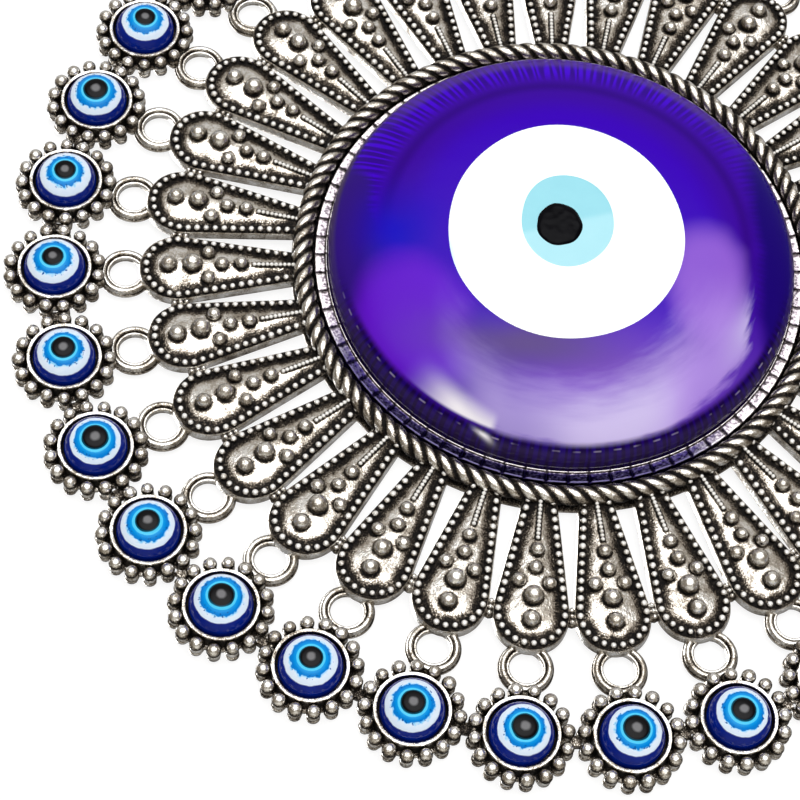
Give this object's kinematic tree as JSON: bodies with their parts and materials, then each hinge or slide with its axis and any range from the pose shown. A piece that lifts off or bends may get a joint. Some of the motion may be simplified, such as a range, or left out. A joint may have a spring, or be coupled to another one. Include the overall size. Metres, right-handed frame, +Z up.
{
  "type": "evil eye wall ornament",
  "caption": "Round hanging ornament with a layered glass eye in a rope-edged bezel, inside a cast rosette of beaded petals, small rings and cups that each hold a small eye cabochon.",
  "frame": {"origin": "centre of the flat back that lies against the wall, on the rosette's axis", "axes": "X to the right seen from the front, Y into the wall so that the eye faces -Y, Z up towards the hanging ring"},
  "size_m": [0.175, 0.0135, 0.1958],
  "materials": {
    "silver": "antiqued silver plating over a zinc casting, dark in the hollows and bright on the high points",
    "wire": "plated steel wire",
    "plate": "plain stamped sheet",
    "foam": "soft adhesive pad",
    "cobalt_glass": "polished deep cobalt glass with a violet cast",
    "opal_glass": "polished opal white glass",
    "aqua_glass": "polished pale aqua glass",
    "black_glass": "polished black glass",
    "eye_resin": "clear-coated cabochon with painted white, blue and black rings"
  },
  "bodies": {
    "ornament": {"frame_casting": "silver", "rope_bezel": "silver", "back_plate": "plate", "adhesive_pad": "foam", "glass_body": "cobalt_glass", "glass_white_layer": "opal_glass", "glass_iris_layer": "aqua_glass", "glass_pupil_dot": "black_glass", "eye_cabochon_01": "eye_resin", "eye_cabochon_02": "eye_resin", "eye_cabochon_03": "eye_resin", "eye_cabochon_04": "eye_resin", "eye_cabochon_05": "eye_resin", "eye_cabochon_06": "eye_resin", "eye_cabochon_07": "eye_resin", "eye_cabochon_08": "eye_resin", "eye_cabochon_09": "eye_resin", "eye_cabochon_10": "eye_resin", "eye_cabochon_11": "eye_resin", "eye_cabochon_12": "eye_resin", "eye_cabochon_13": "eye_resin", "eye_cabochon_14": "eye_resin", "eye_cabochon_15": "eye_resin", "eye_cabochon_16": "eye_resin", "eye_cabochon_17": "eye_resin", "eye_cabochon_18": "eye_resin", "eye_cabochon_19": "eye_resin", "eye_cabochon_20": "eye_resin", "eye_cabochon_21": "eye_resin", "eye_cabochon_22": "eye_resin", "eye_cabochon_23": "eye_resin", "eye_cabochon_24": "eye_resin", "eye_cabochon_25": "eye_resin", "eye_cabochon_26": "eye_resin", "eye_cabochon_27": "eye_resin", "eye_cabochon_28": "eye_resin", "eye_cabochon_29": "eye_resin", "eye_cabochon_30": "eye_resin", "eye_cabochon_31": "eye_resin"},
    "hanging_ring": {"hanging_ring": "wire"}
  },
  "joints": [
    {"name": "hanging_ring_swing", "type": "hinge", "parent": "ornament", "child": "hanging_ring", "pos_m": [0, -0.0029, 0.0906], "axis": [1, 0, 0], "range_deg": [-80, 80]}
  ]
}
